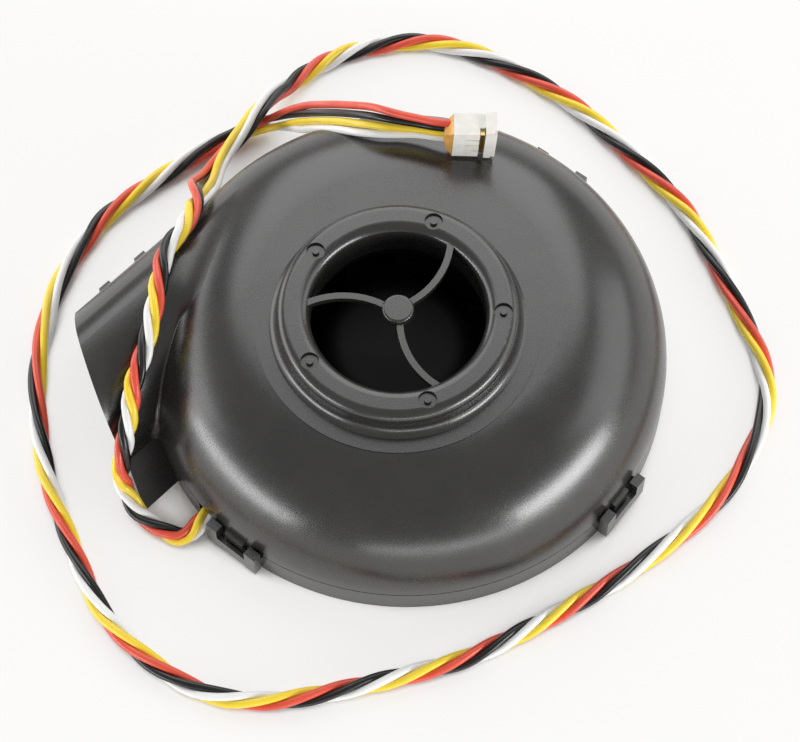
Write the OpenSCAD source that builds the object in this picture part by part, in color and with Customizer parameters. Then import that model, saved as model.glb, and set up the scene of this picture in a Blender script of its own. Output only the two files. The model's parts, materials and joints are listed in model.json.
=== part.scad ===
// Vacuum fan motor: a round scroll blower with an outer-rotor brushless motor inside.
// Origin on the fan axis at the base plane, +Z towards the inlet, the outlet mouth faces -X. Millimetres.

/* [Scroll casing] */
// Outer radius of the round casing
casing_r = 49; // [47:0.1:52]
// Offset of the casing centre from the fan axis
casing_shift = 4.25; // [3:0.25:4.5]
// Direction of that offset in degrees
casing_shift_dir = 45; // [35:1:55]
// Height of the dome's flat top above the base
dome_h = 26.5; // [26.5:0.1:30]
// Radius of the dome's shoulder
shoulder_r = 20.6; // [16:0.2:20.6]
// Wall of both shells
wall = 1.6; // [1.4:0.1:2]
// Height of the joint between the shells
joint_h = 5.8; // [5.6:0.1:5.8]
// Open line round the outside of the joint
joint_gap = 0.25; // [0.1:0.05:0.4]
// Depth of that line into the wall
joint_line_t = 0.7; // [0.4:0.1:0.9]
// Height of the lower shell's lip above the joint
lip_h = 1.6; // [1.2:0.1:2]
// Thickness of the lip
lip_t = 1.1; // [0.8:0.1:1.5]
// Clearance between the lip and the upper shell
lip_gap = 0.15; // [0.15:0.05:0.3]

/* [Inlet collar] */
// Outside diameter of the collar
collar_d = 44; // [43:0.2:47]
// Height of the collar's top above the base
collar_h = 32; // [31:0.2:36]
// Fillet between collar and dome
collar_fillet = 2.2; // [1:0.2:3]
// Rounding of the collar's outer edge
collar_edge = 1.8; // [0.6:0.1:2]
// Width of the raised ring round the foot of the fillet
foot_ring_w = 2; // [0.8:0.1:2.4]
// Height of that ring
foot_ring_t = 0.12; // [0.1:0.02:0.4]
// Diameter of the inlet throat
inlet_d = 32; // [30:0.2:33]
// Rounding of the throat's edge
inlet_round = 2; // [1:0.1:2.4]
// Number of gate marks on the collar
gate_n = 5; // [3:1:8]
// Diameter of a gate mark
gate_d = 3.4; // [2.4:0.1:3.6]
// Depth of a gate mark
gate_depth = 0.6; // [0.3:0.05:0.8]
// Diameter of the pip in a gate mark
gate_pip_d = 1.3; // [0.8:0.1:1.6]
// Direction of the first gate mark in degrees
gate_dir = -25; // [-60:1:60]

/* [Inlet guard] */
// Diameter of the guard's hub
guard_hub_d = 5.8; // [5:0.1:8]
// Thickness of the hub
guard_hub_t = 1.7; // [1.4:0.1:3]
// Number of arms
guard_arms = 3; // [2:1:5]
// Width of an arm
guard_arm_w = 1.2; // [0.9:0.1:2]
// Depth of an arm along the axis
guard_arm_t = 1.3; // [1:0.1:2]
// Drop of the arms below the collar's top
guard_drop = 0.8; // [0.5:0.1:1.5]
// Radius of an arm's curve
guard_bend = 15.5; // [13:0.5:22]
// Direction of the first arm's curve centre in degrees
guard_dir = 208.6; // [180:0.2:240]

/* [Outlet duct] */
// Direction of the duct in degrees
duct_dir = 202.5; // [198:0.5:206]
// Distance of the duct's inner wall from the casing centre
duct_in = 21.4; // [20:0.2:22.4]
// Distance of the lower shell's inner foot from the casing centre
duct_foot = 13.8; // [12.4:0.2:17]
// How far the duct's outer wall lies inside the casing's radius
duct_tuck = 0.1; // [0.1:0.1:1]
// Height of the duct's roof
duct_roof_h = 23.2; // [22.6:0.2:24]
// Rounding between the shoulder and the duct's roof
duct_roof_round = 5.8; // [5:0.2:8]
// Rounding of the inner roof edge
duct_inner_round = 16; // [12:0.5:16.5]
// Distance of the mouth from the fan axis at the base
mouth_x = 52.9; // [50:0.1:58]
// Lean of the mouth in degrees
mouth_lean = 8.5; // [0:0.5:10]
// Turn of the mouth about the upright in degrees
mouth_turn = -5.3; // [-8:0.1:2]

/* [Snap clips] */
// Directions of the casing's clips in degrees
clip_dirs = [30.3, 207.7, 299.4];
// Place of the duct's clip along the duct
clip_along = 26; // [24:0.2:30]
// Length of a clip
clip_w = 11.6; // [11:0.2:12]
// Width of an end post
clip_post_w = 2.5; // [2:0.1:2.8]
// Reach of the posts from the wall
clip_out = 1.95; // [1.8:0.05:2.6]
// Height of the posts' underside
clip_z = 1.4; // [1:0.1:1.6]
// Height of the posts' top
clip_top = 7.5; // [6.8:0.1:8.5]
// Thickness of the bar between the posts
bar_t = 0.8; // [0.6:0.05:0.9]
// Height of the bar's top
bar_top = 4.6; // [4:0.1:5]
// Width of the snap tongue
tongue_w = 4.2; // [3.4:0.2:5.6]
// Thickness of the snap tongue
tongue_t = 0.7; // [0.5:0.05:0.7]
// Clearance round the tongue
tongue_gap = 0.2; // [0.15:0.05:0.25]

/* [Motor mount] */
// Circle of the three bosses
boss_circle_d = 33; // [32:0.2:36]
// Outside diameter of a boss
boss_d = 4.6; // [4:0.1:5.4]
// Height of the bosses above the floor
boss_h = 2.4; // [2.2:0.1:3]
// Thread diameter of the screws
screw_d = 2; // [1.6:0.1:2.2]
// Head diameter of the screws
screw_head_d = 3.8; // [3.4:0.1:4.2]
// Head height of the screws
screw_head_t = 1.2; // [0.8:0.1:1.4]
// Thickness of the base plate
plate_t = 0.8; // [0.6:0.1:1]
// Diameter of the base plate
plate_d = 27; // [25:0.5:28]
// Thickness of the insulating sheet
sheet_t = 0.4; // [0.2:0.1:0.5]
// Thickness of the driver board
board_t = 0.8; // [0.6:0.1:1]
// Diameter of the driver board
board_d = 25; // [24.6:0.2:26]
// Reach of the board's tail from the axis
tail_r = 20; // [19:0.2:22]
// Width of the board's tail
tail_w = 7; // [6.6:0.2:8]

/* [Bearings and shaft] */
// Shaft diameter
shaft_d = 3; // [2.9:0.05:3.1]
// Outside diameter of a bearing
bearing_d = 8; // [7.8:0.1:8.2]
// Width of a bearing
bearing_w = 3; // [2.6:0.1:3.2]
// Ball diameter
ball_d = 1.48; // [1.4:0.02:1.5]
// Balls in a bearing
ball_n = 7; // [5:1:7]
// Clearance between ball and race
ball_gap = 0.04; // [0.02:0.01:0.05]
// Wall of the bearing tube round the bearings
tube_wall = 1; // [0.8:0.1:1.2]
// Thickness of the retaining clip
retainer_t = 0.4; // [0.3:0.05:0.5]
// Thickness of the preload washer
preload_t = 0.6; // [0.4:0.1:0.8]

/* [Motor] */
// Number of stator teeth
teeth = 9; // [6:3:9]
// Height of the lamination stack
stack_h = 4.4; // [3.8:0.2:5]
// Outside diameter of the stator
stator_d = 20.8; // [20:0.1:21]
// Width of a tooth
tooth_w = 2; // [1.6:0.1:2.2]
// Thickness of a stator insulator
insulator_t = 0.5; // [0.3:0.1:0.7]
// Build of the winding over the insulators
coil_t = 0.8; // [0.5:0.1:0.9]
// Air gap between stator and magnet
air_gap = 0.3; // [0.25:0.05:0.5]
// Thickness of the ring magnet
magnet_t = 1.8; // [1.5:0.1:2]
// Wall of the rotor cup
cup_wall = 1; // [0.8:0.1:1.2]
// Top plate of the rotor cup
cup_top_t = 0.8; // [0.6:0.1:1]
// Clearance of the rotor cup above the board
cup_clear = 1.3; // [1.2:0.1:1.6]

/* [Impeller] */
// Outside diameter of the impeller
impeller_d = 68; // [60:1:72]
// Number of blades
blades = 11; // [7:1:13]
// Thickness of a blade
blade_t = 1.1; // [0.8:0.1:1.4]
// Radius where the blades begin
blade_in_r = 17.2; // [16.8:0.1:18.5]
// Blade angle at the inlet in degrees
blade_in_a = 30; // [26:1:36]
// Blade angle at the outlet in degrees
blade_out_a = 40; // [36:1:48]
// Wall of the hub and of the shroud
impeller_wall = 1.2; // [1:0.1:1.4]
// Thickness of the back plate
back_t = 1.4; // [1:0.1:1.6]
// Rounding of the hub's nose
nose_round = 4.5; // [3:0.25:5]
// Running clearance under the throat
shroud_gap = 0.6; // [0.4:0.1:1]
// Curve of the shroud's eye
shroud_bend = 4; // [3:0.25:5]
// Fall of the shroud towards its rim in degrees
shroud_fall = 6; // [3:0.5:9]

/* [Lead] */
// Diameter of the twisted lead
cable_d = 3.6; // [3:0.1:3.8]
// Clearance of the lead in its notch
cable_gap = 0.3; // [0.2:0.05:0.5]
// Direction of the notch from the casing centre in degrees
cable_dir = 198.2; // [196:0.2:198.4]
// Length of the connector
plug_l = 8; // [7:0.2:10]
// Width of the connector
plug_w = 9.8; // [9.6:0.1:11]
// Thickness of the connector
plug_t = 4.5; // [4:0.1:5.5]
// Contact pitch
plug_pitch = 2; // [1.8:0.1:2.2]

/* [Hidden] */
$fn = 64;
eps = 0.01;
part_gap = 0.05;
plastic = [0.10, 0.10, 0.10];
plastic2 = [0.13, 0.12, 0.12];
steel = [0.62, 0.63, 0.65];
bright = [0.78, 0.79, 0.80];
brass = [0.80, 0.64, 0.32];
copper = [0.72, 0.40, 0.20];
magnet = [0.22, 0.21, 0.21];
board_green = [0.10, 0.30, 0.18];
film = [0.86, 0.80, 0.62];
cream = [0.90, 0.88, 0.80];
white = [0.94, 0.93, 0.90];
amber = [0.85, 0.62, 0.25];

case_x = casing_shift * cos(casing_shift_dir);
case_y = casing_shift * sin(casing_shift_dir);
duct_out = casing_r - duct_tuck;
duct_len = 80;
lip_in = wall + lip_gap + lip_t;
collar_r = collar_d / 2;
throat_r = inlet_d / 2;
throat_out = throat_r + wall;
foot_r = collar_r + collar_fillet + foot_ring_w;
gate_r = (collar_r + throat_r) / 2;
guard_off = guard_bend + 0.5;
guard_end = throat_r + 0.8;
guard_sweep = acos((guard_off ^ 2 + guard_bend ^ 2 - guard_end ^ 2) / (2 * guard_off * guard_bend));
shoulder_z = dome_h - shoulder_r;
shoulder_in = duct_out - shoulder_r;
roof_drop = duct_roof_h - duct_roof_round - shoulder_z;
roof_run = sqrt((shoulder_r - duct_roof_round) ^ 2 - roof_drop ^ 2);
flare_top = joint_h - joint_gap - 0.35;
flare_slope = (duct_in - duct_foot) / flare_top;
flare_wall = wall * sqrt(1 + flare_slope ^ 2);
clip_sink = 0.8;
bar_z = clip_z + 0.4;
cable_z = 3.6;

boss_r = boss_circle_d / 2;
boss_dirs = [for (k = [0:2]) cable_dir + 60 + 120 * k];
plate_z = wall + boss_h;
sheet_z = plate_z + plate_t;
board_z = sheet_z + sheet_t;
board_top = board_z + board_t;
thread_l = plate_t + boss_h - 0.5;
flange_t = 0.8;
bearing_r = bearing_d / 2;
tube_r = bearing_r + tube_wall;
tube_foot_r = tube_r + 0.6;
tube_z = plate_z - flange_t - 0.6;
stack_z = board_top + 2.6;
stack_top = stack_z + stack_h;
low_bearing_z = tube_z + 0.4;
top_bearing_z = stack_top - 1.4;
tube_top = top_bearing_z + bearing_w + 0.2;
race_r = (bearing_r + shaft_d / 2) / 2;
land = ball_d * 0.27;
spring_z = top_bearing_z + bearing_w;
bush_z = spring_z + preload_t;
bush_r = 3.5;
bush_flange_t = 0.3;
cup_plate_z = bush_z + bush_flange_t;
cup_top = cup_plate_z + cup_top_t;
bush_top = cup_top + 1.2;
stator_r = stator_d / 2;
magnet_in = stator_r + air_gap;
cup_in = magnet_in + magnet_t;
cup_r = cup_in + cup_wall;
cup_z = board_top + cup_clear;

hub_r = cup_r + impeller_wall;
back_z = cup_z + 0.2;
back_top = back_z + back_t;
nose_top = bush_top + 0.2 + impeller_wall;
impeller_r = impeller_d / 2;
blade_out_r = impeller_r - 0.4;
blade_num = blade_out_r ^ 2 - blade_in_r ^ 2;
blade_rho = blade_num / (2 * (blade_out_r * cos(blade_out_a) - blade_in_r * cos(blade_in_a)));
blade_off = sqrt(blade_rho ^ 2 + blade_in_r ^ 2 - 2 * blade_rho * blade_in_r * cos(blade_in_a));
function blade_at(r) = acos((blade_off ^ 2 + blade_rho ^ 2 - r ^ 2) / (2 * blade_off * blade_rho));
shroud_top = dome_h - wall - shroud_gap;
shroud_r = throat_r + 0.4;
bend_in = shroud_bend - impeller_wall / 2;
bend_out = shroud_bend + impeller_wall / 2;
bend_x = shroud_r + bend_out;
bend_z = shroud_top - 0.8;
fall_dir = 270 - shroud_fall;

plug_x = 23.6;
plug_y = 30.15;
plug_z = dome_h - 0.03;
plug_turn = -22.7;
plug_tip = 2.4;
plug_lean = 3.8;
bead_out = 1.7;
plug_waist = 0.6;
nose_l = plug_l * 0.26;
window_l = 1.1;
window_x = plug_l - nose_l - window_l;
groove_x = plug_l * 0.26;
cavity_w = 1.4;

// Route of the lead's centre line, from the board's tail to the connector
floor_z = cable_d / 2 + 0.2;
route = [
    [-19.4, -6, cable_z], [-31, -8.8, cable_z], [-41.6, -11.7, cable_z], [-43.5, -12.3, cable_z],
    [-45.4, -13.1, 3.3], [-47.3, -14, 2.8], [-49.6, -13.9, 2.5], [-51.7, -11.6, 2.3],
    [-53.8, -8.4, 2.4], [-55, -6, 3], [-55.4, -3.6, 4.4], [-55.7, -1.7, 5.8], [-55.4, -0.4, 9.6],
    [-54.2, 1, 12.8], [-52.3, 3.4, 16.4], [-50.5, 5.8, 18.8], [-48.2, 9.5, 21.5], [-43.9, 14.5, 23.5],
    [-39.6, 20.7, 25.1], [-37.1, 25, 25.5], [-34.1, 29.9, 25.4], [-31.7, 32.3, 25.1],
    [-28.7, 34.4, 24.8], [-25.3, 38.5, 22.9], [-22.3, 44.1, 18.2], [-18.6, 49.6, 11.4],
    [-15, 54.5, 7.5], [-11.5, 57.5, 6.4], [-7, 60.5, 6.3], [-3, 63.5, 6.2], [1.5, 66.5, 5],
    [5.5, 68.5, 3], [12.5, 71, floor_z], [20.5, 71.5, floor_z], [30.5, 69.5, floor_z],
    [37, 66.5, floor_z], [43.5, 61, floor_z], [49.5, 53.5, floor_z], [54.5, 45.5, floor_z],
    [58.5, 37, floor_z], [65, 17, floor_z], [66.5, 6, floor_z], [66, -16.5, floor_z],
    [65, -24.5, floor_z], [62.8, -30.5, floor_z], [58.5, -36, floor_z], [52, -41.5, floor_z],
    [45.5, -45.5, floor_z], [38, -48.5, floor_z], [28.5, -51.2, floor_z], [17, -53.5, floor_z],
    [-6, -56, floor_z], [-18.5, -55.3, floor_z], [-39.5, -51.7, floor_z], [-50, -48, floor_z],
    [-57, -43, floor_z], [-62.5, -35.5, floor_z], [-66.5, -26.5, floor_z], [-68.3, -17.5, floor_z],
    [-68.2, 2.5, floor_z], [-67.2, 11.5, floor_z], [-65, 20.5, floor_z], [-62, 29, floor_z],
    [-58, 36.5, floor_z], [-52, 44.8, floor_z], [-43.5, 52, floor_z], [-35, 56.5, floor_z],
    [-15.1, 61.8, floor_z], [-9.1, 62.5, floor_z], [-4, 62.4, 2.4], [0.4, 60.6, 4.5], [2.6, 58, 8],
    [4.4, 54.1, 13.2], [5.9, 49.7, 19], [7.6, 46.1, 23.2], [9.4, 43, 26.2], [11.5, 40.4, 28.2],
    [13.6, 38.3, 29.2], [15.9, 36.6, 29.6], [18.6, 34.6, 30.2],
    [plug_x - 2.2, plug_y + 2, plug_z + 4.5]];

// Frames of the casing, of the duct and of the clips

module at_case() {
    translate([case_x, case_y, 0]) children();
}

module at_duct() {
    at_case() rotate(duct_dir) children();
}

module at_clips() {
    for (d = clip_dirs) {
        at_case() rotate(d) translate([casing_r, 0, 0]) children();
    }
    at_duct() translate([clip_along, -duct_out, 0]) rotate(-90) children();
}

module ring(r_out, r_in, h) {
    linear_extrude(h) difference() {
        circle(r_out);
        circle(r_in);
    }
}

// Shapes that both shells share, set in from the outside by i

module outline(i) {
    translate([case_x, case_y]) circle(casing_r - i, $fn = 128);
    translate([case_x, case_y]) rotate(duct_dir) translate([0, -duct_out + i])
        square([duct_len, duct_out - duct_in - 2 * i]);
}

module casing_form(i, from) {
    at_case() rotate_extrude($fn = 160) intersection() {
        union() {
            square([casing_r - shoulder_r, dome_h - i]);
            square([casing_r - i, shoulder_z]);
            translate([casing_r - shoulder_r, shoulder_z]) circle(shoulder_r - i, $fn = 128);
        }
        translate([0, from]) square([casing_r + 1, dome_h]);
    }
}

module duct_section(i, from) {
    lo = -duct_out + i;
    hi = -duct_in - i;
    top = duct_roof_h - i;
    ri = duct_inner_round - i;
    roof_y = -shoulder_in - roof_run;
    wedge = 2 * shoulder_r / (shoulder_r - duct_roof_round);
    intersection() {
        translate([lo, from]) square([hi - lo, top - from]);
        union() {
            translate([lo, 0]) square([hi - lo, shoulder_z]);
            intersection() {
                translate([-shoulder_in, shoulder_z]) circle(shoulder_r - i, $fn = 128);
                translate([-shoulder_in, shoulder_z])
                    polygon([[0, 0], [-2 * shoulder_r, 0], [-wedge * roof_run, wedge * roof_drop]]);
            }
            translate([roof_y, duct_roof_h - duct_roof_round]) circle(duct_roof_round - i, $fn = 96);
            translate([roof_y, 0]) square([max(hi - ri - roof_y, eps), top]);
            translate([hi - ri - eps, 0]) square([ri + eps, top - ri]);
            intersection() {
                translate([hi - ri, top - ri]) circle(ri, $fn = 96);
                translate([hi - ri - eps, top - ri - eps]) square(2 * ri);
            }
        }
    }
}

module duct_prism() {
    at_duct() rotate([90, 0, 90]) linear_extrude(duct_len) children();
}

module duct_form(i, from) {
    duct_prism() duct_section(i, from);
}

module mouth_cut() {
    translate([-mouth_x, 0, 0]) rotate([0, -mouth_lean, mouth_turn]) translate([-60, -100, -20])
        cube([60, 200, 80]);
}

module cable_notch() {
    notch_w = cable_d + 2 * cable_gap;
    at_case() rotate(cable_dir) translate([casing_r - 6, 0, cable_z]) {
        rotate([0, 90, 0]) cylinder(d = notch_w, h = 12);
        translate([0, -notch_w / 2, 0]) cube([12, notch_w, joint_h + lip_h]);
    }
}

// Upper shell with collar, guard, duct and snap tongues

module collar_section() {
    translate([0, dome_h - wall]) square([collar_r, collar_h - dome_h + wall - collar_edge]);
    square([collar_r - collar_edge, collar_h]);
    translate([collar_r - collar_edge, collar_h - collar_edge]) circle(collar_edge);
    translate([collar_r - eps, dome_h - wall]) difference() {
        square([collar_fillet + eps, wall + collar_fillet]);
        translate([collar_fillet + eps, wall + collar_fillet]) circle(collar_fillet);
    }
    translate([0, dome_h - wall]) square([foot_r, wall + foot_ring_t]);
}

module throat_section() {
    square([throat_r, collar_h + 1]);
    translate([throat_r - eps, collar_h - inlet_round]) difference() {
        square([inlet_round + eps, inlet_round + 1]);
        translate([inlet_round + eps, 0]) circle(inlet_round);
        translate([-eps, inlet_round + eps]) square([inlet_round + 1, 2]);
    }
}

module gate_marks() {
    for (k = [0:gate_n - 1]) {
        rotate(gate_dir + k * 360 / gate_n) translate([gate_r, 0, collar_h - gate_depth])
            ring(gate_d / 2, gate_pip_d / 2, gate_depth + 1);
    }
}

module guard() {
    edge = 0.5;
    arm_z = collar_h - guard_drop - guard_arm_t;
    translate([0, 0, collar_h - guard_hub_t]) rotate_extrude() {
        square([guard_hub_d / 2 - edge, guard_hub_t]);
        square([guard_hub_d / 2, guard_hub_t - edge]);
        translate([guard_hub_d / 2 - edge, guard_hub_t - edge]) circle(edge);
    }
    for (k = [0:guard_arms - 1]) {
        rotate(guard_dir + k * 360 / guard_arms) translate([guard_off, 0, arm_z]) rotate(182)
            rotate_extrude(angle = guard_sweep - 2) translate([guard_bend - guard_arm_w / 2, 0])
                square([guard_arm_w, guard_arm_t]);
    }
}

module snap_tongue() {
    face = tongue_gap + tongue_t;
    translate([-clip_sink, -tongue_w / 2, joint_h + tongue_gap])
        cube([clip_sink + face, tongue_w, clip_top - joint_h - 2 * tongue_gap]);
    translate([tongue_gap, -tongue_w / 2, 0.6]) cube([tongue_t, tongue_w, joint_h]);
    translate([0, tongue_w / 2, 0]) rotate([90, 0, 0]) linear_extrude(tongue_w)
        polygon([[face - eps, bar_z - tongue_gap], [face + bar_t, bar_z - tongue_gap], [face - eps, 0.6]]);
}

module upper_housing() {
    color(plastic) difference() {
        union() {
            difference() {
                union() {
                    casing_form(0, joint_h);
                    duct_form(0, joint_h);
                    rotate_extrude($fn = 128) collar_section();
                    at_clips() snap_tongue();
                }
                casing_form(wall, 0);
                duct_form(wall, 0);
                rotate_extrude($fn = 128) throat_section();
                translate([0, 0, dome_h - wall - 1])
                    ring(collar_r - wall, throat_out, collar_h - dome_h + 1);
                gate_marks();
            }
            guard();
        }
        mouth_cut();
    }
}

// Lower shell with lip, clip frames and motor bosses

module clip_frame() {
    foot_h = joint_h - joint_gap - clip_z - 0.35;
    for (s = [-1, 1]) translate([0, s * (clip_w - clip_post_w) / 2 - clip_post_w / 2, clip_z]) {
        translate([-clip_sink, 0, 0]) cube([clip_sink + clip_out, clip_post_w, foot_h]);
        translate([tongue_gap, 0, 0]) cube([clip_out - tongue_gap, clip_post_w, clip_top - clip_z]);
    }
    translate([clip_out - bar_t, clip_post_w / 2 - clip_w / 2, bar_z])
        cube([bar_t, clip_w - clip_post_w, bar_top - bar_z]);
}

module shell_wall(i, h) {
    linear_extrude(h) difference() {
        outline(i);
        outline(lip_in);
    }
}

module flare() {
    difference() {
        duct_prism() polygon([[-duct_in - 1, 0], [-duct_foot, 0], [-duct_in, flare_top],
            [-duct_in - 1, flare_top]]);
        at_case() translate([0, 0, -1]) cylinder(r = casing_r - wall / 2, h = joint_h + 2);
    }
}

module flare_room() {
    roof = flare_top - 0.1;
    inner = -duct_in - lip_in - 0.5;
    foot = -duct_foot - flare_wall;
    duct_prism() polygon([[foot - flare_slope * wall, wall], [inner, wall], [inner, roof],
        [foot - flare_slope * roof, roof]]);
}

module lower_housing() {
    color(plastic2) difference() {
        union() {
            linear_extrude(wall) outline(0);
            shell_wall(0, joint_h - joint_gap);
            shell_wall(joint_line_t, joint_h);
            shell_wall(wall + lip_gap, joint_h + lip_h);
            flare();
            at_clips() clip_frame();
            for (d = boss_dirs) {
                rotate(d) translate([boss_r, 0, wall - 0.2]) cylinder(d = boss_d, h = boss_h + 0.2);
            }
        }
        for (d = boss_dirs) {
            rotate(d) translate([boss_r, 0, plate_z - thread_l]) cylinder(d = screw_d, h = thread_l + 1);
        }
        flare_room();
        mouth_cut();
        cable_notch();
    }
}

// Motor mount, board and bearing tube

module motor_base() {
    color(steel) translate([0, 0, plate_z]) linear_extrude(plate_t) difference() {
        union() {
            circle(d = plate_d);
            for (d = boss_dirs) rotate(d) {
                translate([0, -boss_d / 2]) square([boss_r, boss_d]);
                translate([boss_r, 0]) circle(d = boss_d);
            }
        }
        circle(tube_foot_r);
        for (d = boss_dirs) rotate(d) translate([boss_r, 0]) circle(d = screw_d + 0.4);
    }
}

module base_screws() {
    color(bright) for (d = boss_dirs) rotate(d) translate([boss_r, 0, 0]) difference() {
        union() {
            translate([0, 0, plate_z - thread_l + 0.4]) cylinder(d = screw_d - 0.1, h = thread_l + plate_t);
            translate([0, 0, sheet_z]) cylinder(d = screw_head_d, h = screw_head_t);
        }
        for (a = [0, 90]) {
            rotate(a) translate([-1, -0.2, sheet_z + screw_head_t / 2]) cube([2, 0.4, screw_head_t]);
        }
    }
}

module insulating_sheet() {
    color(film) translate([0, 0, sheet_z]) ring(board_d / 2 - 0.3, tube_foot_r + 0.2, sheet_t);
}

module driver_board() {
    color(board_green) translate([0, 0, board_z]) linear_extrude(board_t) difference() {
        union() {
            circle(d = board_d);
            rotate(cable_dir) translate([0, -tail_w / 2]) square([tail_r, tail_w]);
        }
        circle(tube_foot_r + 0.2);
    }
}

module board_components() {
    color([0.16, 0.16, 0.17]) translate([0, 0, board_top]) {
        for (k = [-1:1]) {
            rotate(cable_dir + 180 + 40 * k) translate([board_d / 2 - 1.6, -1.45, 0]) cube([1.3, 2.9, 0.9]);
        }
        rotate(cable_dir) translate([board_d / 2 + 1.2, -2, 0]) cube([3, 4, 0.7]);
        for (s = [-1, 1]) {
            rotate(cable_dir) translate([board_d / 2 + 2, s * 2.7 - 0.4, 0]) cube([1.6, 0.8, 0.7]);
        }
        for (k = [-1.5:1:1.5]) {
            rotate(cable_dir) translate([tail_r - 1.4, k * 1.6, 0]) cylinder(r1 = 0.7, r2 = 0.3, h = 0.5);
        }
    }
}

module bearing_tube() {
    step_z = low_bearing_z + bearing_w;
    color(brass) rotate_extrude() difference() {
        union() {
            translate([0, tube_z]) square([tube_foot_r, stack_z - tube_z]);
            translate([0, tube_z]) square([tube_r, tube_top - tube_z]);
            translate([0, plate_z - flange_t]) square([tube_foot_r + 1, flange_t]);
        }
        translate([0, tube_z - 1]) square([bearing_r, step_z - tube_z + 1]);
        translate([0, top_bearing_z]) square([bearing_r, 10]);
        translate([0, tube_z]) square([bearing_r - 0.7, tube_top - tube_z]);
    }
}

// Bearings, all drawn at their own height z

module outer_ring(z) {
    color(bright) translate([0, 0, z]) rotate_extrude() difference() {
        translate([race_r + land, 0]) square([bearing_r - race_r - land, bearing_w]);
        translate([race_r, bearing_w / 2]) circle(ball_d / 2 + ball_gap);
    }
}

module inner_ring(z) {
    color(bright) translate([0, 0, z]) rotate_extrude() difference() {
        translate([shaft_d / 2, 0]) square([race_r - land - shaft_d / 2, bearing_w]);
        translate([race_r, bearing_w / 2]) circle(ball_d / 2 + ball_gap);
    }
}

module balls(z, r) {
    for (k = [0:ball_n - 1]) {
        rotate(k * 360 / ball_n) translate([race_r, 0, z + bearing_w / 2]) sphere(r, $fn = 32);
    }
}

module cage(z) {
    color(cream) difference() {
        translate([0, 0, z + bearing_w / 2 - 1.1]) ring(race_r + land / 2, race_r - land / 2, 2.2);
        balls(z, ball_d / 2 + part_gap);
    }
}

module lower_outer_ring() {
    outer_ring(low_bearing_z);
}

module lower_inner_ring() {
    inner_ring(low_bearing_z);
}

module lower_balls() {
    color(bright) balls(low_bearing_z, ball_d / 2);
}

module lower_cage() {
    cage(low_bearing_z);
}

module upper_outer_ring() {
    outer_ring(top_bearing_z);
}

module upper_inner_ring() {
    inner_ring(top_bearing_z);
}

module upper_balls() {
    color(bright) balls(top_bearing_z, ball_d / 2);
}

module upper_cage() {
    cage(top_bearing_z);
}

// Stator

module tooth_bars(w, r_out) {
    for (k = [0:teeth - 1]) {
        rotate(k * 360 / teeth) translate([tube_r + 1, -w / 2]) square([r_out - tube_r - 1, w]);
    }
}

module stator_core() {
    tip = 150 / teeth;
    color(steel) translate([0, 0, stack_z]) linear_extrude(stack_h) difference() {
        union() {
            circle(tube_r + 1.9);
            tooth_bars(tooth_w, stator_r - 0.6);
            for (k = [0:teeth - 1]) rotate(k * 360 / teeth) intersection() {
                difference() {
                    circle(stator_r);
                    circle(stator_r - 0.9);
                }
                polygon([[0, 0], [20, -20 * tan(tip)], [20, 20 * tan(tip)]]);
            }
        }
        circle(tube_r);
    }
}

module insulator(r_in) {
    linear_extrude(insulator_t) difference() {
        union() {
            circle(tube_r + 1.9);
            tooth_bars(tooth_w + 0.4, stator_r - 1);
        }
        circle(r_in);
    }
}

module stator_insulators() {
    color(cream) {
        translate([0, 0, stack_z - insulator_t]) insulator(tube_foot_r);
        translate([0, 0, stack_top]) insulator(tube_r);
    }
}

module stator_windings() {
    coil_in = tube_r + 2.1;
    coil_l = stator_r - 1.1 - coil_in;
    core_w = tooth_w + 0.4;
    core_h = stack_h + 2 * insulator_t;
    color(copper) translate([0, 0, stack_z + stack_h / 2]) for (k = [0:teeth - 1]) {
        rotate(k * 360 / teeth) translate([coil_in + coil_l / 2, 0, 0]) difference() {
            cube([coil_l, core_w + 2 * coil_t, core_h + 2 * coil_t], center = true);
            cube([coil_l + 1, core_w, core_h], center = true);
        }
    }
}

// Rotor

module shaft() {
    groove_z = low_bearing_z - retainer_t - part_gap;
    color(bright) rotate_extrude() difference() {
        translate([0, tube_z - 0.5]) square([shaft_d / 2, bush_top - tube_z + 0.5]);
        translate([shaft_d / 2 - 0.3, groove_z - part_gap]) square([1, retainer_t + 2 * part_gap]);
    }
}

module shaft_clip() {
    clip_base = low_bearing_z - retainer_t - part_gap;
    color(steel) translate([0, 0, clip_base]) linear_extrude(retainer_t) difference() {
        circle(shaft_d / 2 + 0.7);
        circle(shaft_d / 2 - 0.28);
        translate([0, -0.9]) square([5, 1.8]);
    }
}

module preload_washer() {
    color(steel) translate([0, 0, spring_z]) ring(race_r - land, shaft_d / 2, preload_t);
}

module rotor_bush() {
    color(brass) rotate_extrude() {
        translate([shaft_d / 2, bush_z]) square([bush_r - shaft_d / 2, bush_top - bush_z]);
        translate([shaft_d / 2, bush_z]) square([bush_r + 1 - shaft_d / 2, bush_flange_t]);
    }
}

module rotor_cup() {
    color(steel) rotate_extrude($fn = 96) {
        translate([bush_r, cup_plate_z]) square([cup_r - bush_r, cup_top_t]);
        translate([cup_in, cup_z]) square([cup_wall, cup_top - cup_z]);
    }
}

module rotor_magnet() {
    color(magnet) translate([0, 0, cup_z + 0.3]) ring(cup_in, magnet_in, cup_plate_z - cup_z - 1.3);
}

module hub_section() {
    difference() {
        union() {
            translate([0, back_z]) square([hub_r, nose_top - nose_round - back_z]);
            square([hub_r - nose_round, nose_top]);
            translate([hub_r - nose_round, nose_top - nose_round]) circle(nose_round);
            translate([0, back_z]) square([impeller_r, back_t]);
        }
        square([cup_r, cup_top]);
        square([bush_r + 0.2, bush_top + 0.2]);
    }
}

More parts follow.
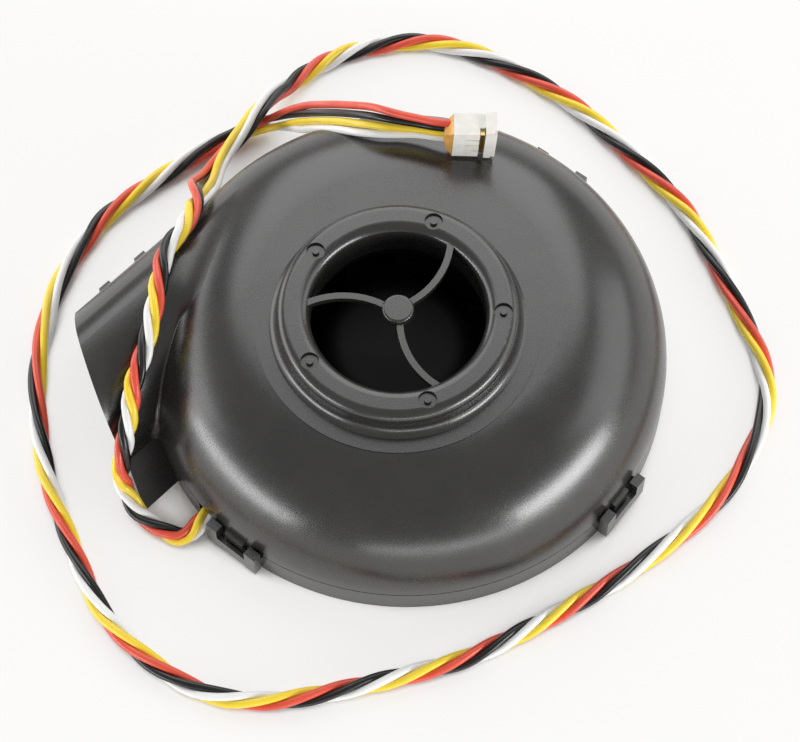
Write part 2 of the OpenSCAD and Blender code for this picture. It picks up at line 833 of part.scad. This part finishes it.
module blade_room() {
    difference() {
        translate([blade_in_r - 1, back_top - 0.2])
            square([impeller_r - blade_in_r, shroud_top - back_top]);
        translate([bend_x, bend_z]) circle(bend_out + part_gap);
        translate([bend_x, bend_z]) rotate(-shroud_fall) translate([0, -bend_out - part_gap])
            square([30, 20]);
        translate([blade_out_r, 0]) square([10, 40]);
        translate([0, 0]) square([blade_in_r, 40]);
    }
}

module blade() {
    a_in = blade_at(blade_in_r - 0.6);
    a_out = blade_at(blade_out_r + 0.6);
    translate([blade_off, 0, back_top - 0.5]) rotate(180 - a_out)
        rotate_extrude(angle = a_out - a_in, $fn = 128) translate([blade_rho - blade_t / 2, 0])
            square([blade_t, shroud_top - back_top]);
}

module impeller() {
    color(plastic2) {
        rotate_extrude($fn = 128) hub_section();
        intersection() {
            rotate_extrude($fn = 128) blade_room();
            for (k = [0:blades - 1]) rotate(k * 360 / blades) blade();
        }
    }
}

module impeller_shroud() {
    run = (impeller_r - bend_x) / cos(shroud_fall) + 2;
    color(plastic2) rotate_extrude($fn = 128) {
        translate([shroud_r, bend_z - part_gap]) square([impeller_wall, shroud_top - bend_z + part_gap]);
        intersection() {
            translate([bend_x, bend_z]) difference() {
                circle(bend_out);
                circle(bend_in);
            }
            translate([bend_x, bend_z]) polygon([[0, 0], [-20, 0], [-20, -20],
                [20 * cos(fall_dir), 20 * sin(fall_dir)]]);
        }
        intersection() {
            translate([bend_x, bend_z]) rotate(-shroud_fall) translate([-part_gap, -bend_out])
                square([run, impeller_wall]);
            square([impeller_r, 40]);
        }
    }
}

// Lead and connector

function unit(v) = v / norm(v);
function way(p, i) = unit(p[min(i + 1, len(p) - 1)] - p[max(i - 1, 0)]);
function side(p, i) = let (d = way(p, i), u = i == 0 ? cross([0, 0, 1], d) : side(p, i - 1))
    unit(u - (u * d) * d);
function hoop(p, i, r, n) = let (u = side(p, i), v = cross(way(p, i), u))
    [for (k = [0:n - 1]) p[i] + r * (cos(360 * k / n) * u + sin(360 * k / n) * v)];

module tube(p, r, n) {
    m = len(p);
    points = [for (i = [0:m - 1]) each hoop(p, i, r, n)];
    walls = [for (i = [0:m - 2], k = [0:n - 1]) let (a = i * n + k, b = i * n + (k + 1) % n)
        [a, a + n, b + n, b]];
    first = [for (k = [0:n - 1]) k];
    last = [for (k = [n - 1:-1:0]) (m - 1) * n + k];
    polyhedron(points, concat([first, last], walls), convexity = 10);
}

module cable() {
    color([0.85, 0.72, 0.15]) tube(route, cable_d / 2, 8);
}

module at_plug() {
    translate([plug_x, plug_y, plug_z]) rotate([plug_lean, plug_tip, plug_turn]) children();
}

module plug_slots(w, x, l) {
    for (k = [-1.5:1:1.5]) {
        translate([x, -w / 2, plug_w / 2 + k * plug_pitch - w / 2]) cube([l, w, w]);
    }
}

module connector_housing() {
    face = -plug_t / 2;
    color(white) at_plug() difference() {
        union() {
            translate([0, face, plug_waist]) cube([plug_l - nose_l, plug_t, plug_w - 2 * plug_waist]);
            translate([plug_l - nose_l - eps, face, 0]) cube([nose_l + eps, plug_t, plug_w]);
        }
        plug_slots(cavity_w, -1, plug_l + 2);
        translate([window_x, face - 1, -1]) cube([window_l, 1 + plug_t / 2 - cavity_w / 2, plug_w + 2]);
        for (k = [-1:1]) {
            translate([groove_x, face - 1, plug_w / 2 + k * plug_pitch - 0.3])
                cube([window_x - groove_x + eps, 1.4, 0.6]);
        }
        for (z = [-1, plug_w - plug_waist]) {
            translate([plug_l - 0.8, face - 1, z]) cube([2, 1.6, 1 + plug_waist]);
        }
    }
}

module connector_contacts() {
    color(brass) at_plug() difference() {
        union() {
            plug_slots(cavity_w - 2 * part_gap, 1.2, plug_l - 1.8);
            for (k = [-1.5:1:1.5]) {
                translate([window_x + 0.15, 0.4 - plug_t / 2, plug_w / 2 + k * plug_pitch - 0.5])
                    cube([window_l - 0.3, plug_t / 2, 1]);
            }
        }
        plug_slots(0.7, plug_l - 2, 4);
    }
}

module glue_bead() {
    across = plug_t - 0.3;
    tall = plug_w - 2 * plug_waist;
    across_r = (across ^ 2 / 4 + bead_out ^ 2) / (2 * bead_out);
    tall_r = (tall ^ 2 / 4 + bead_out ^ 2) / (2 * bead_out);
    color(amber) at_plug() intersection() {
        translate([across_r - bead_out, 0, 0]) cylinder(r = across_r, h = plug_w);
        translate([tall_r - bead_out, 5, plug_w / 2]) rotate([90, 0, 0])
            cylinder(r = tall_r, h = 10, $fn = 96);
        translate([-5, -5, 0]) cube([5, 10, plug_w]);
    }
}

upper_housing();
lower_housing();
motor_base();
base_screws();
insulating_sheet();
driver_board();
board_components();
bearing_tube();
stator_core();
stator_insulators();
stator_windings();
lower_outer_ring();
lower_inner_ring();
lower_balls();
lower_cage();
upper_outer_ring();
upper_inner_ring();
upper_balls();
upper_cage();
shaft();
shaft_clip();
preload_washer();
rotor_bush();
rotor_cup();
rotor_magnet();
impeller();
impeller_shroud();
cable();
connector_housing();
connector_contacts();
glue_bead();
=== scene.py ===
import bpy
import bmesh
import json
import math
from mathutils import Matrix, Vector


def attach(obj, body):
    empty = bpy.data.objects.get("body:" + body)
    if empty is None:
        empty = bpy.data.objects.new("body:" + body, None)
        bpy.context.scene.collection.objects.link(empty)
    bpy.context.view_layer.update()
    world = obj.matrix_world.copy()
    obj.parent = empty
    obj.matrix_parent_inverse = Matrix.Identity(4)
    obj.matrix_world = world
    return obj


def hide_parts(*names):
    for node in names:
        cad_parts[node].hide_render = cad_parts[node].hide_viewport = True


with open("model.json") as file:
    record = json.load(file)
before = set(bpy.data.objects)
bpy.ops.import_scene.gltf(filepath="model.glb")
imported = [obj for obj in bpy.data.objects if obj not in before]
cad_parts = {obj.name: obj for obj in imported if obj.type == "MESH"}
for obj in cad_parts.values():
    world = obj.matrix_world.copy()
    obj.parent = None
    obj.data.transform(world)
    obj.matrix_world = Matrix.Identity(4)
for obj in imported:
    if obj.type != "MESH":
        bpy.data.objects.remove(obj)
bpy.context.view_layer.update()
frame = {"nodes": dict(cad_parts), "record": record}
nodes = frame["nodes"]
mm = 0.001
photoTurn = 23.0    # degrees from the part's frame to the photograph's, about Z
print("frame loaded:", len(nodes), "nodes")


# Shader maths on sockets

class Sock:
    def __init__(self, tree, socket):
        self.tree = tree
        self.socket = socket

    def maths(self, operation, other=None, swap=False):
        pair = [self, other] if not swap else [other, self]
        return self.tree.make("ShaderNodeMath", [p for p in pair if p is not None], operation=operation)

    def __add__(self, other):
        return self.maths("ADD", other)

    def __radd__(self, other):
        return self.maths("ADD", other, True)

    def __sub__(self, other):
        return self.maths("SUBTRACT", other)

    def __rsub__(self, other):
        return self.maths("SUBTRACT", other, True)

    def __mul__(self, other):
        return self.maths("MULTIPLY", other)

    def __rmul__(self, other):
        return self.maths("MULTIPLY", other, True)

    def __truediv__(self, other):
        return self.maths("DIVIDE", other)

    def __rtruediv__(self, other):
        return self.maths("DIVIDE", other, True)

    def clamp(self, low=0.0, high=1.0):
        return self.maths("MAXIMUM", low).maths("MINIMUM", high)

    def ramp(self, low, high):
        return ((self - low) / (high - low)).clamp()


class Finish:
    def __init__(self, name, **constants):
        self.material = bpy.data.materials.new(name)
        self.material.use_nodes = True
        self.nodes = self.material.node_tree.nodes
        self.links = self.material.node_tree.links
        self.shader = self.nodes["Principled BSDF"]
        self.output = self.nodes["Material Output"]
        for key, value in constants.items():
            self.shader.inputs[key.replace("_", " ")].default_value = value

    def make(self, kind, inputs=(), out=0, **settings):
        node = self.nodes.new(kind)
        for key, value in settings.items():
            setattr(node, key, value)
        pairs = inputs.items() if isinstance(inputs, dict) else enumerate(inputs)
        for key, value in pairs:
            if isinstance(value, Sock):
                self.links.new(value.socket, node.inputs[key])
            else:
                node.inputs[key].default_value = value
        return Sock(self, node.outputs[out])

    def place(self):
        return self.make("ShaderNodeTexCoord", out=3)

    def stretch(self, scale, turn=(0, 0, 0)):
        return self.make("ShaderNodeMapping", {"Vector": self.place(), "Scale": scale, "Rotation": turn})

    def noise(self, size, detail=3.0, rough=0.5, vector=None):
        spot = vector or self.place()
        return self.make("ShaderNodeTexNoise", {"Vector": spot, "Scale": 1 / (size * mm), "Detail": detail,
                                                "Roughness": rough})

    def blend(self, factor, dark, light):
        ends = {0: factor, 6: (*dark, 1), 7: (*light, 1)}
        return self.make("ShaderNodeMix", ends, out=2, data_type="RGBA")

    def feed(self, name, value):
        self.links.new(value.socket, self.shader.inputs[name])

    def bump(self, height, depth, strength=1.0):
        self.feed("Normal", self.make("ShaderNodeBump", {"Height": height, "Distance": depth * mm,
                                                         "Strength": strength}))


# Finishes

def mouldedPlastic(name, dark, light, rough, shine, grain):
    f = Finish(name, Specular_IOR_Level=shine, IOR=1.6)
    fine = f.noise(grain["size"], 2, 0.6)
    broad = f.noise(9, 3, 0.55)
    scuff = f.noise(1.0, 4, 0.7, f.stretch((1, 14, 1), (0, 0, 0.7))).ramp(0.62, 0.72)
    f.feed("Base Color", f.blend((broad * 0.5 + fine * 0.5).ramp(0.32, 0.68) + scuff * 0.5, dark, light))
    f.feed("Roughness", rough + (broad - 0.5) * 0.12 + (fine - 0.5) * 0.16 + scuff * 0.05)
    f.bump(fine, grain["depth"], 0.6)
    return f.material


def wireJacket(name, dark, light):
    f = Finish(name, Specular_IOR_Level=0.5, Coat_Weight=0.15, Coat_Roughness=0.15)
    soft = f.noise(4, 3)
    f.feed("Base Color", f.blend(soft.ramp(0.3, 0.7), dark, light))
    f.feed("Roughness", 0.30 + (f.noise(0.5, 3) - 0.5) * 0.16)
    f.bump(f.noise(0.6, 2), 0.02, 0.3)
    return f.material


def metal(name, dark, light, rough, size=0.4):
    f = Finish(name, Metallic=1.0)
    grain = f.noise(size, 4, 0.6)
    f.feed("Base Color", f.blend(grain.ramp(0.3, 0.7), dark, light))
    f.feed("Roughness", rough + (grain - 0.5) * 0.2)
    f.bump(grain, 0.01, 0.3)
    return f.material


def softPlastic(name, dark, light, rough, scatter=0.0):
    f = Finish(name, Specular_IOR_Level=0.5, Subsurface_Weight=scatter, Subsurface_Scale=0.001)
    cloud = f.noise(1.5, 3)
    f.feed("Base Color", f.blend(cloud.ramp(0.3, 0.7), dark, light))
    f.feed("Roughness", rough + (f.noise(0.4, 3) - 0.5) * 0.15)
    f.bump(f.noise(0.25, 2), 0.01, 0.4)
    return f.material


satin = dict(size=0.24, depth=0.010)
jacketYellow = ((0.90, 0.64, 0.035), (0.95, 0.72, 0.05))
finishes = {
    "casing": mouldedPlastic("casing", (0.016, 0.0155, 0.0148), (0.024, 0.023, 0.022), 0.26, 0.68, satin),
    "lower_casing": mouldedPlastic("lower_casing", (0.018, 0.017, 0.0162), (0.027, 0.0255, 0.0243),
                                   0.27, 0.68, satin),
    # impeller plastic: its own black, pushed darker and with weak reflection as painted shade for the deep
    # inlet throat
    "fan_plastic": mouldedPlastic("fan_plastic", (0.004, 0.004, 0.004), (0.007, 0.007, 0.007), 0.6, 0.12,
                                  dict(size=0.3, depth=0.01)),
    "steel": metal("steel", (0.45, 0.46, 0.48), (0.62, 0.63, 0.65), 0.35),
    "bearing_steel": metal("bearing_steel", (0.66, 0.67, 0.69), (0.80, 0.81, 0.82), 0.18),
    "laminations": metal("laminations", (0.26, 0.27, 0.29), (0.40, 0.41, 0.43), 0.5),
    "brass": metal("brass", (0.62, 0.44, 0.16), (0.80, 0.62, 0.28), 0.3),
    "copper": metal("copper", (0.50, 0.20, 0.07), (0.72, 0.34, 0.14), 0.32, 0.25),
    "magnet": softPlastic("magnet", (0.05, 0.05, 0.05), (0.08, 0.08, 0.08), 0.6),
    "board": softPlastic("board", (0.01, 0.07, 0.035), (0.02, 0.11, 0.05), 0.3),
    "components": softPlastic("components", (0.015, 0.015, 0.016), (0.03, 0.03, 0.03), 0.5),
    "film": softPlastic("film", (0.55, 0.42, 0.20), (0.66, 0.54, 0.30), 0.4),
    "nylon": softPlastic("nylon", (0.68, 0.64, 0.52), (0.78, 0.74, 0.64), 0.45),
    "plug": softPlastic("plug", (0.78, 0.76, 0.70), (0.88, 0.87, 0.83), 0.38, 0.15),
    "glue": softPlastic("glue", (0.62, 0.30, 0.06), (0.80, 0.46, 0.14), 0.22, 0.4),
    "lead": wireJacket("lead", *jacketYellow),
    "red": wireJacket("red", (0.70, 0.075, 0.04), (0.80, 0.10, 0.055)),
    "black": wireJacket("black", (0.005, 0.005, 0.005), (0.009, 0.009, 0.009)),
    "yellow": wireJacket("yellow", *jacketYellow),
    "white": wireJacket("white", (0.84, 0.84, 0.835), (0.90, 0.90, 0.895)),
}
for part in frame["record"]["subparts"]:
    solid = nodes[part["node"]]
    solid.data.materials.clear()
    solid.data.materials.append(finishes[part["material_slot"]])
print("finishes:", len(finishes))


# Camera at the photograph's place

view = dict(rise=63.76, eye=(0.35, -232.8, 478.6), focal=2800.0, wide=800.0, film=36, nearest=0.01)


def setCamera(spec):
    spin = Matrix.Rotation(math.radians(-photoTurn), 4, "Z")
    tilt = Matrix.Rotation(math.radians(90 - spec["rise"]), 4, "X")
    data = bpy.data.cameras.new("camera")
    data.sensor_fit = "HORIZONTAL"
    data.sensor_width = spec["film"]
    data.lens = spec["focal"] * spec["film"] / spec["wide"]
    data.clip_start = spec["nearest"]
    camera = bpy.data.objects.new("camera", data)
    bpy.context.collection.objects.link(camera)
    camera.matrix_world = Matrix.Translation(spin @ Vector(spec["eye"]) * mm) @ spin @ tilt
    bpy.context.scene.camera = camera


setCamera(view)
print("camera set")


# Lead: four twisted wires along the lead's route

lead = {
    "route": [
        (-19.4, -6, 3.6), (-31, -8.8, 3.6), (-41.6, -11.7, 3.6), (-43.5, -12.3, 3.6), (-45.4, -13.1, 3.3),
        (-47.3, -14, 2.8), (-49.6, -13.9, 2.5), (-51.7, -11.6, 2.3), (-53.8, -8.4, 2.4), (-55, -6, 3),
        (-55.4, -3.6, 4.4), (-55.7, -1.7, 5.8), (-55.4, -0.4, 9.6), (-54.2, 1, 12.8), (-52.3, 3.4, 16.4),
        (-50.5, 5.8, 18.8), (-48.2, 9.5, 21.5), (-43.9, 14.5, 23.5), (-39.6, 20.7, 25.1),
        (-37.1, 25, 25.5), (-34.1, 29.9, 25.4), (-31.7, 32.3, 25.1), (-28.7, 34.4, 24.8),
        (-25.3, 38.5, 22.9), (-22.3, 44.1, 18.2), (-18.6, 49.6, 11.4), (-15, 54.5, 7.5),
        (-11.5, 57.5, 6.4), (-7, 60.5, 6.3), (-3, 63.5, 6.2), (1.5, 66.5, 5), (5.5, 68.5, 3),
        (12.5, 71, 2), (20.5, 71.5, 2), (30.5, 69.5, 2), (37, 66.5, 2), (43.5, 61, 2), (49.5, 53.5, 2),
        (54.5, 45.5, 2), (58.5, 37, 2), (65, 17, 2), (66.5, 6, 2), (66, -16.5, 2), (65, -24.5, 2),
        (62.8, -30.5, 2), (58.5, -36, 2), (52, -41.5, 2), (45.5, -45.5, 2), (38, -48.5, 2),
        (28.5, -51.2, 2), (17, -53.5, 2), (-6, -56, 2), (-18.5, -55.3, 2), (-39.5, -51.7, 2),
        (-50, -48, 2), (-57, -43, 2), (-62.5, -35.5, 2), (-66.5, -26.5, 2), (-68.3, -17.5, 2),
        (-68.2, 2.5, 2), (-67.2, 11.5, 2), (-65, 20.5, 2), (-62, 29, 2), (-58, 36.5, 2), (-52, 44.8, 2),
        (-43.5, 52, 2), (-35, 56.5, 2), (-15.1, 61.8, 2), (-9.1, 62.5, 2), (-4, 62.4, 2.4),
        (0.4, 60.6, 4.5), (2.6, 58, 8), (4.4, 54.1, 13.2), (5.9, 49.7, 19), (7.6, 46.1, 23.2),
        (9.4, 43, 26.2), (11.5, 40.4, 28.2), (13.6, 38.3, 29.2), (15.9, 36.6, 29.6), (18.6, 34.6, 30.2),
        (21.4, 32.15, 30.97), (23.93, 30.42, 31.4)],
    "wire": 1.5,
    "spread": 1.06,
    "step": 1.0,
    # where along the lead the black wire faces the camera, and its turn there
    "marks": [(18, -1), (37.5, 0), (57, 1), (73, 2), (92.5, 3), (118, 4.25), (155, 5), (177, 6), (205, 7),
              (236, 8), (268, 9), (308, 10), (345, 11), (371, 12), (399, 13), (429, 14), (459, 15),
              (490, 16), (530, 17), (559, 18), (592, 18.4), (630, 18.4)],
    "seenFrom": (-0.171, -0.402, 0.899),
    "before": ["black", "white", "yellow", "red"],
    "swap": dict(start=102, end=134, bulge=1.2, tuck=0.3),
    "plugOrder": ["red", "black", "yellow", "white"],
    "ribbon": dict(start=564, end=590, pitch=1.6),
    "plug": dict(pitch=2.0, levelFrom=26, levelBy=4, reach=1.6),
    "plugWay": (0.9217, -0.3856, -0.0419),
    "plugUp": (0.013, -0.0773, 0.9969),
}


def catmull(points, step):
    line = []
    pts = [Vector(p) for p in points]
    pts = [2 * pts[0] - pts[1]] + pts + [2 * pts[-1] - pts[-2]]
    for a, b, c, d in zip(pts, pts[1:], pts[2:], pts[3:]):
        count = max(1, round((c - b).length / step))
        for i in range(count):
            t = i / count
            line.append(0.5 * (2 * b + (c - a) * t + (2 * a - 5 * b + 4 * c - d) * t * t
                               + (3 * b - a - 3 * c + d) * t ** 3))
    line.append(pts[-2])
    return line


def between(table, x):
    for (x0, y0), (x1, y1) in zip(table, table[1:]):
        if x <= x1:
            t = max(0.0, (x - x0) / (x1 - x0))
            return y0 + (y1 - y0) * t
    return table[-1][1]


def framesAlong(line):
    ways = [(line[min(i + 1, len(line) - 1)] - line[max(i - 1, 0)]).normalized() for i in range(len(line))]
    side = Vector((0, 0, 1)).cross(ways[0]).normalized()
    out = []
    for way in ways:
        side = (side - side.dot(way) * way).normalized()
        out.append((side.copy(), way.cross(side)))
    return out


def ease(x, low, high):
    t = min(1.0, max(0.0, (x - low) / (high - low)))
    return t * t * (3 - 2 * t)


def turnsAlong(spec, along, axes):
    seen = Vector(spec["seenFrom"])
    turns = []
    last = 0.0
    for s, (u, v) in zip(along, axes):
        facing = math.atan2(seen.dot(v), seen.dot(u))
        facing += 2 * math.pi * round((last - facing) / (2 * math.pi))
        last = facing
        turns.append(facing - 2 * math.pi * between(spec["marks"], s))
    return turns


def wirePaths(spec):
    line = catmull(spec["route"], spec["step"])
    axes = framesAlong(line)
    along = [0.0]
    for a, b in zip(line, line[1:]):
        along.append(along[-1] + (b - a).length)
    total = along[-1]
    turns = turnsAlong(spec, along, axes)
    seen, plugUp = Vector(spec["seenFrom"]), Vector(spec["plugUp"])
    swap, ribbon, plug = spec["swap"], spec["ribbon"], spec["plug"]
    paths = {}
    for k, colour in enumerate(spec["before"]):
        slotAt = 1.5 - spec["plugOrder"].index(colour)
        path = []
        for p, (u, v), s, a in zip(line, axes, along, turns):
            moved = ease(s, swap["start"], swap["end"])
            bulge = math.sin(math.pi * moved)
            reach = spec["spread"] + (swap["bulge"] if k % 2 else -swap["tuck"]) * bulge
            angle = a + (k + (2 * moved if k % 2 else 0)) * math.pi / 2
            twisted = reach * (math.cos(angle) * u + math.sin(angle) * v)
            upward = seen.cross(u.cross(v)).normalized()
            near = ease(s, total - plug["levelFrom"], total - plug["levelBy"])
            flat = (upward * (1 - near) + plugUp * near).normalized()
            fanned = flat * slotAt * (ribbon["pitch"] + (plug["pitch"] - ribbon["pitch"]) * near)
            t = ease(s, ribbon["start"], ribbon["end"])
            path.append(p + twisted * (1 - t) + fanned * t)
        path.append(path[-1] + Vector(spec["plugWay"]) * plug["reach"])
        paths[colour] = path
    return paths, total


def makeWire(name, path, diameter, finish):
    curve = bpy.data.curves.new(name, "CURVE")
    curve.dimensions = "3D"
    curve.bevel_depth = diameter / 2 * mm
    curve.bevel_resolution = 4
    curve.use_fill_caps = True
    spline = curve.splines.new("POLY")
    spline.points.add(len(path) - 1)
    for point, spot in zip(spline.points, path):
        point.co = (*(spot * mm), 1)
    spline.use_smooth = True
    wire = bpy.data.objects.new(name, curve)
    bpy.context.collection.objects.link(wire)
    curve.materials.append(finish)
    return wire


paths, leadLength = wirePaths(lead)
for colour, path in paths.items():
    wire = makeWire("wire_" + colour, path, lead["wire"], finishes[colour])
    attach(wire, "housing")
    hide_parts("cable")
    run = sum((b - a).length for a, b in zip(path, path[1:]))
    path[0] * mm
print("lead length along its middle, mm:", round(leadLength))


# Fillet in the corner between the dome and the duct

crease = {
    "centre": (3.005, 3.005),
    "heading": 202.5,
    "dome": dict(ring=28.4, height=5.9, radius=20.6),
    "arch": dict(side=37.4, height=7.2, radius=16.0),
    "roof": dict(side=37.6, height=17.4, radius=5.8),
    "foot": 5.82,
    # degrees up the arch, and the rolling ball's radius there
    "ball": [(0, 1.6), (12, 0.8), (26, 0.4), (50, 0.4), (58, 0.7), (64, 1.6), (70, 3.8), (76, 6.8),
             (84, 11.5), (92, 15.5), (100, 17.5), (110, 17.0), (128, 12.0)],
    "rows": 128,
    "cuts": 10,
    "sink": 0.015,
}


def creaseRow(spec, degrees):
    ball = between(spec["ball"], degrees)
    dome, arch = spec["dome"], spec["arch"] if degrees < 90 else spec["roof"]
    lean = math.radians(degrees)
    side = arch["side"] - (arch["radius"] + ball) * math.cos(lean)
    height = arch["height"] + (arch["radius"] + ball) * math.sin(lean)
    ring = dome["ring"] + math.sqrt((dome["radius"] + ball) ** 2 - (height - dome["height"]) ** 2)
    out = math.sqrt(ring ** 2 - side ** 2)
    middle = Vector((out, side, height))
    onArch = Vector((out, arch["side"] - arch["radius"] * math.cos(lean),
                     arch["height"] + arch["radius"] * math.sin(lean)))
    share = dome["radius"] / (dome["radius"] + ball)
    inward = (dome["ring"] + (ring - dome["ring"]) * share) / ring
    onDome = Vector((out * inward, side * inward, dome["height"] + (height - dome["height"]) * share))
    first, last = (onArch - middle).normalized(), (onDome - middle).normalized()
    reach = first.angle(last)
    row = []
    for i in range(spec["cuts"] + 1):
        t = i / spec["cuts"]
        way = (first * math.sin((1 - t) * reach) + last * math.sin(t * reach)) / math.sin(reach)
        edge = spec["sink"] if i in (0, spec["cuts"]) else 0.0
        row.append(middle + way * (ball + edge))
    return row


def makeCrease(spec):
    heading = math.radians(spec["heading"])
    along = Vector((math.cos(heading), math.sin(heading)))
    across = Vector((along.y, -along.x))
    base = Vector(spec["centre"])
    rows = [creaseRow(spec, i) for i in range(spec["rows"] + 1)]
    rows.insert(0, [Vector((p.x, p.y, spec["foot"])) for p in rows[0]])
    bm = bmesh.new()
    grid = []
    for row in rows:
        flat = [base + along * p.x + across * p.y for p in row]
        grid.append([bm.verts.new((q.x * mm, q.y * mm, p.z * mm)) for q, p in zip(flat, row)])
    for low, high in zip(grid, grid[1:]):
        for a, b, c, d in zip(low, low[1:], high[1:], high):
            bm.faces.new((a, b, c, d)).smooth = True
    bmesh.ops.recalc_face_normals(bm, faces=bm.faces)
    mesh = bpy.data.meshes.new("duct_fillet")
    bm.to_mesh(mesh)
    bm.free()
    mesh.materials.append(finishes["casing"])
    fillet = bpy.data.objects.new("duct_fillet", mesh)
    bpy.context.collection.objects.link(fillet)
    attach(fillet, "housing")


makeCrease(crease)
print("fillet made")


# Floor, light and world

# corner entry: painted shade, ambient occlusion cuts the floor's glow in corners and beside the casing,
# duct and lead
floorSheet = dict(reach=3.0, colour=(0.90, 0.895, 0.885), mottle=0.985, patch=60, pale=(1, 0.995, 0.985, 1),
                  glow=0.72, corner=dict(reach=20, shut=0.40, clear=0.53))


def makeStage(spec):
    mesh = bpy.data.meshes.new("floor")
    bm = bmesh.new()
    bmesh.ops.create_grid(bm, x_segments=1, y_segments=1, size=spec["reach"])
    bm.to_mesh(mesh)
    bm.free()
    floor = bpy.data.objects.new("floor", mesh)
    bpy.context.collection.objects.link(floor)
    f = Finish("floor", Roughness=0.9, Specular_IOR_Level=0.1)
    colour = spec["colour"]
    mottled = [c * spec["mottle"] for c in colour]
    f.feed("Base Color", f.blend(f.noise(spec["patch"], 2).ramp(0.35, 0.65), mottled, colour))
    rays = ("Is Camera Ray", "Is Glossy Ray", "Is Transmission Ray")
    seen = [f.make("ShaderNodeLightPath", out=ray) for ray in rays]
    pale = f.make("ShaderNodeEmission", {"Color": spec["pale"], "Strength": 1.0})
    corner = spec["corner"]
    # painted shade: where ambient occlusion is low the floor's white glow is reduced, so corners and
    # contacts darken
    clearOfPaintedShade = f.make("ShaderNodeAmbientOcclusion", {"Distance": corner["reach"] * mm}, out="AO")
    clearOfPaintedShade = clearOfPaintedShade.ramp(corner["shut"], corner["clear"])
    share = (seen[0] + seen[1] + seen[2]).clamp() * spec["glow"] * clearOfPaintedShade
    mixed = f.make("ShaderNodeMixShader", {0: share, 1: Sock(f, f.shader.outputs[0]), 2: pale})
    f.links.new(mixed.socket, f.output.inputs["Surface"])
    mesh.materials.append(f.material)


boxes = [
    dict(name="front_right_box", heading=-31, height=13, reach=0.9, size=(0.64, 0.22), radiance=11.9),
    dict(name="front_left_box", heading=-152, height=7, reach=0.9, size=(0.75, 0.18), radiance=8.4),
    dict(name="back_box", heading=88, height=41, reach=1.0, size=(0.95, 0.95), radiance=2.1),
    dict(name="right_box", heading=15, height=28, reach=1.0, size=(0.8, 0.6), radiance=1.5),
    dict(name="left_box", heading=160, height=15, reach=1.0, size=(1.0, 0.6), radiance=2.4),
    dict(name="front_low_box", heading=-76, height=4, reach=0.9, size=(0.95, 0.11), radiance=4.2),
]


def softLight(name, heading, height, reach, size, radiance):
    azimuth = math.radians(heading - photoTurn)
    rise = math.radians(height)
    flat = math.cos(rise)
    way = Vector((math.cos(azimuth) * flat, math.sin(azimuth) * flat, math.sin(rise)))
    data = bpy.data.lights.new(name, "AREA")
    data.shape = "RECTANGLE"
    data.size, data.size_y = size
    data.energy = radiance * math.pi * size[0] * size[1]
    lamp = bpy.data.objects.new(name, data)
    bpy.context.collection.objects.link(lamp)
    lamp.matrix_world = Matrix.Translation(way * reach) @ way.to_track_quat("Z", "Y").to_matrix().to_4x4()


def setWorld(strength, colour):
    world = bpy.data.worlds.new("world")
    bpy.context.scene.world = world
    world.use_nodes = True
    sky = world.node_tree.nodes["Background"]
    sky.inputs[0].default_value = (*colour, 1)
    sky.inputs[1].default_value = strength


makeStage(floorSheet)
for box in boxes:
    softLight(**box)
setWorld(0.37, (1.0, 0.99, 0.98))
bpy.context.scene.view_settings.view_transform = "Standard"
print("stage set")
